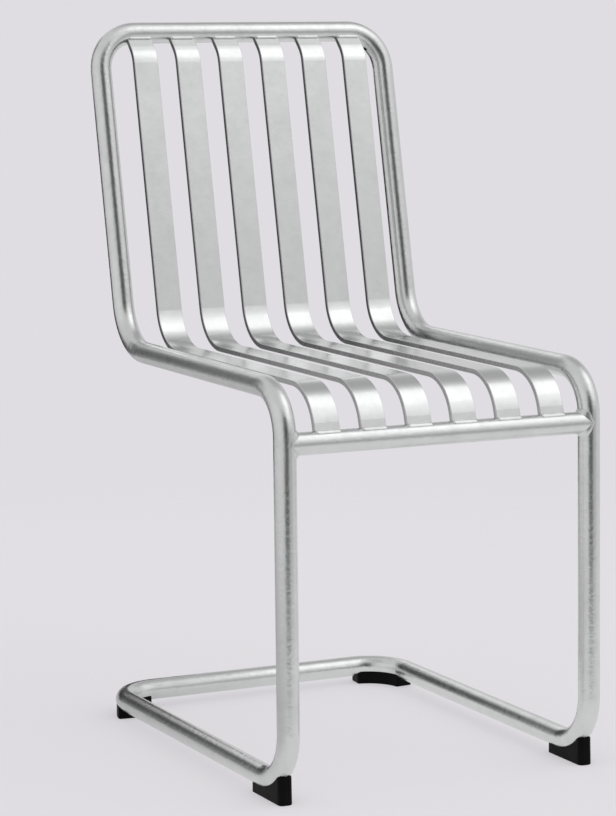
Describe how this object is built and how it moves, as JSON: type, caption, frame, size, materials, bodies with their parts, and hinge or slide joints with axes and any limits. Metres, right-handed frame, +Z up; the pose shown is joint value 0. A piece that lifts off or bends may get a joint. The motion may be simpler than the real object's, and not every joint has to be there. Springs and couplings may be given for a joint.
{
  "type": "cantilever garden chair",
  "caption": "Cantilever garden chair of bent galvanised steel tube, with flat steel slats that run in one piece from the front edge of the seat up the back, on small black plastic feet.",
  "frame": {"origin": "on the floor, under the middle of the chair's bounding box", "axes": "+Z up, the chair faces -Y, +X to the right as seen from the front"},
  "size_m": [0.406, 0.5379, 0.8345],
  "materials": {
    "frame_steel": "hot-dip galvanised tube, bright and faintly mottled",
    "slat_steel": "hot-dip galvanised flat bar, satin and faintly mottled",
    "weld_steel": "dressed weld under the same zinc",
    "sleeve_steel": "plain steel, hidden in the tube",
    "foot_plastic": "black moulded plastic with a slight sheen",
    "screw_steel": "zinc-plated"
  },
  "bodies": {
    "root": {"left_frame_tube": "frame_steel", "right_frame_tube": "frame_steel", "front_crossbar": "frame_steel", "slat_1": "slat_steel", "slat_2": "slat_steel", "slat_3": "slat_steel", "slat_4": "slat_steel", "slat_5": "slat_steel", "slat_6": "slat_steel", "top_seam_weld": "weld_steel", "rear_seam_weld": "weld_steel", "left_crossbar_weld": "weld_steel", "right_crossbar_weld": "weld_steel", "slat_top_welds": "weld_steel", "slat_front_welds": "weld_steel", "top_joint_sleeve": "sleeve_steel", "rear_joint_sleeve": "sleeve_steel", "front_left_foot": "foot_plastic", "front_right_foot": "foot_plastic", "rear_left_foot": "foot_plastic", "rear_right_foot": "foot_plastic", "foot_screws": "screw_steel"}
  },
  "joints": []
}
